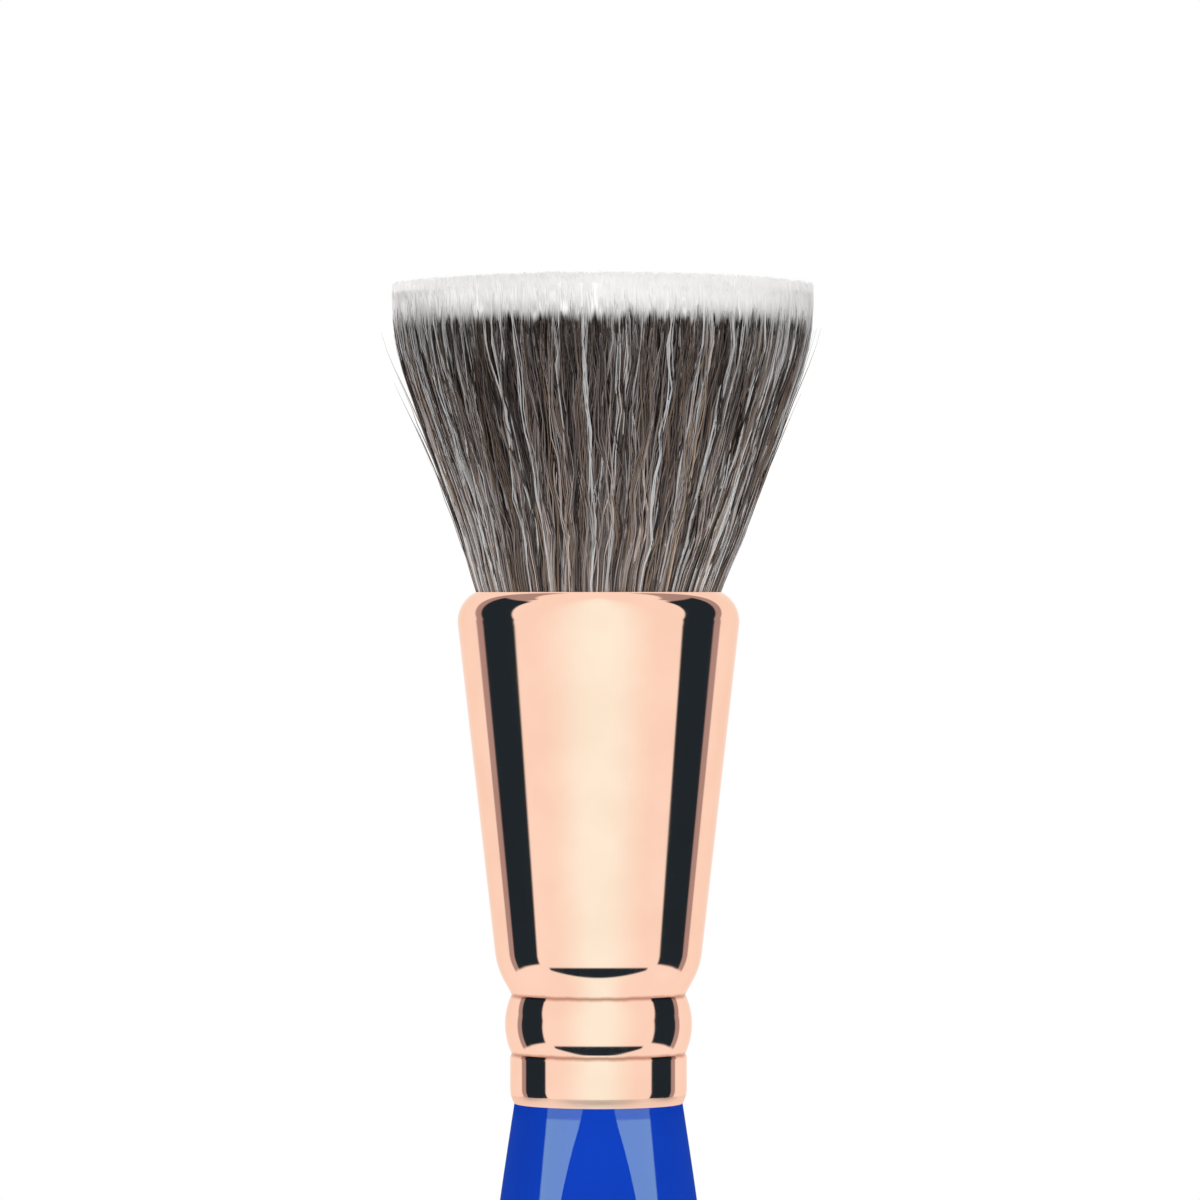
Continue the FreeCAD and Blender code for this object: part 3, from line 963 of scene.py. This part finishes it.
def glow(name, base, patches, see_through):
    """Light that depends on where it comes from: patches on an even base.

    A patch has azimuths and elevations, both in degrees, the lean of its sides, the bow of its ends,
    a softness in degrees and a colour. It lies on the right and, mirrored, on the left.
    """
    material, net = new_material(name)
    place = net.node("ShaderNodeTexCoord").outputs["Object"]
    direction = net.node("ShaderNodeVectorMath", {0: place}, operation="NORMALIZE").outputs[0]
    parts = net.node("ShaderNodeSeparateXYZ", {"Vector": direction}).outputs
    towards_camera = net.math("MULTIPLY", parts["Y"], -1.0)
    azimuth = net.math("ABSOLUTE", net.math("ARCTAN2", parts["X"], towards_camera))
    elevation = net.math("ARCSINE", parts["Z"])
    above = net.math("MAXIMUM", net.math("SUBTRACT", elevation, lean_start), 0.0)
    squared = net.math("MULTIPLY", azimuth, azimuth)
    colour = base
    for azimuths, elevations, leans, bows, softness, level in patches:
        mask = 1.0
        for angle, limit, side in (
            (net.math("MULTIPLY_ADD", above, -leans[0], azimuth), azimuths[0], 1),
            (net.math("MULTIPLY_ADD", above, -leans[1], azimuth), azimuths[1], -1),
            (net.math("MULTIPLY_ADD", squared, -bows[0], elevation), elevations[0], 1),
            (net.math("MULTIPLY_ADD", squared, -bows[1], elevation), elevations[1], -1),
        ):
            fade_start = math.radians(limit - softness * side)
            fade_end = math.radians(limit + softness * side)
            mask = net.math("MULTIPLY", mask, net.ramp(angle, fade_start, fade_end))
        colour = net.mix(mask, colour, level)
    light = net.node("ShaderNodeEmission", {"Color": colour}).outputs[0]
    if see_through:
        clear = net.node("ShaderNodeBsdfTransparent").outputs[0]
        light = net.node("ShaderNodeAddShader", {0: light, 1: clear}).outputs[0]
    net.node("ShaderNodeOutputMaterial", {"Surface": light})
    material.cycles.emission_sampling = "NONE"
    return material


def make_dome(name, radius, material, receiver):
    """A dome of soft boxes and flags that only one piece mirrors."""
    sphere = bmesh.new()
    bmesh.ops.create_uvsphere(sphere, u_segments=64, v_segments=32, radius=radius)
    mesh = bpy.data.meshes.new(name)
    sphere.to_mesh(mesh)
    sphere.free()
    mesh.shade_smooth()
    mesh.materials.append(material)
    dome = bpy.data.objects.new(name, mesh)
    dome.location = (0, 0, (lip_height + mouth_height) / 2)
    bpy.context.scene.collection.objects.link(dome)
    dome.visible_camera = False
    dome.visible_diffuse = False
    dome.visible_transmission = False
    dome.visible_volume_scatter = False
    dome.visible_shadow = False
    receivers = bpy.data.collections.new(name + "_receivers")
    receivers.objects.link(receiver)
    dome.light_linking.receiver_collection = receivers


def make_floor():
    """A pale round floor, white to the eye except where the brush shades it."""
    material, net = new_material("floor_paper")
    path = net.node("ShaderNodeLightPath").outputs
    paper = net.node("ShaderNodeBsdfDiffuse", {"Color": grey(paper_level)}).outputs[0]
    strength = net.math("MULTIPLY", path["Is Camera Ray"], floor_lift)
    lift = net.node("ShaderNodeEmission", {"Color": grey(1.0), "Strength": strength}).outputs[0]
    both = net.node("ShaderNodeAddShader", {0: paper, 1: lift}).outputs[0]
    net.node("ShaderNodeOutputMaterial", {"Surface": both})
    disc = bmesh.new()
    bmesh.ops.create_circle(disc, cap_ends=True, segments=96, radius=floor_radius)
    mesh = bpy.data.meshes.new("floor")
    disc.to_mesh(mesh)
    disc.free()
    mesh.materials.append(material)
    floor = bpy.data.objects.new("floor", mesh)
    floor.location.z = -floor_gap
    floor.visible_glossy = False
    bpy.context.scene.collection.objects.link(floor)


def make_lamps():
    """Large soft lamps: a pair in front of the brush, one above it and one behind it."""
    for name, (location, power) in lamps.items():
        lamp = bpy.data.lights.new(name, "AREA")
        lamp.shape = "DISK"
        lamp.size = lamp_size
        lamp.energy = power
        place = bpy.data.objects.new(name, lamp)
        place.location = location
        aim = Vector((0, 0, mouth_height)) - place.location
        place.rotation_euler = aim.to_track_quat("-Z", "Y").to_euler()
        place.visible_glossy = False
        bpy.context.scene.collection.objects.link(place)


def light_the_set(ferrule, handle):
    make_world()
    make_floor()
    make_lamps()
    cream = (1.0, 1.26, 1.28, 1)
    brown = (0.42, 0.36, 0.38, 1)
    flag = (0.015, 0.03, 0.047, 1)
    ferrule_glow = glow("ferrule_soft_boxes", grey(1.0), [
        ((-60, 30), (-90, 90), (0, 0), (0, 0), 25, cream),
        ((100, 119), (-23, 62), (0, 0.78), (0, 0), 1.5, brown),
        ((73, 109.5), (-23, 66), (0.37, 0.66), (0, -0.065), 1.5, flag),
        ((-60, 62), (-48, -32), (0, 0), (0.24, 0.05), 1.5, flag),
    ], False)
    make_dome("ferrule_dome", ferrule_dome_radius, ferrule_glow, ferrule)
    blue_room = (0.03, 0.08, 0.38, 1)
    front_box = (3.4, 5.2, 3.3, 1)
    back_box = (2.4, 3.2, 2.8, 1)
    handle_glow = glow("handle_soft_boxes", blue_room, [
        ((22, 74), (-25, 24), (0, 0), (0, 0), 1.5, front_box),
        ((112, 156), (-40, -10), (0, 0), (0, 0), 4, back_box),
    ], True)
    make_dome("handle_dome", handle_dome_radius, handle_glow, handle)


def main():
    bpy.context.scene.view_settings.view_transform = "Standard"
    ferrule = make_ferrule(ferrule_plate())
    handle = make_handle(handle_lacquer())
    make_head()
    finish_hidden_pieces()
    make_camera()
    light_the_set(ferrule, handle)


main()
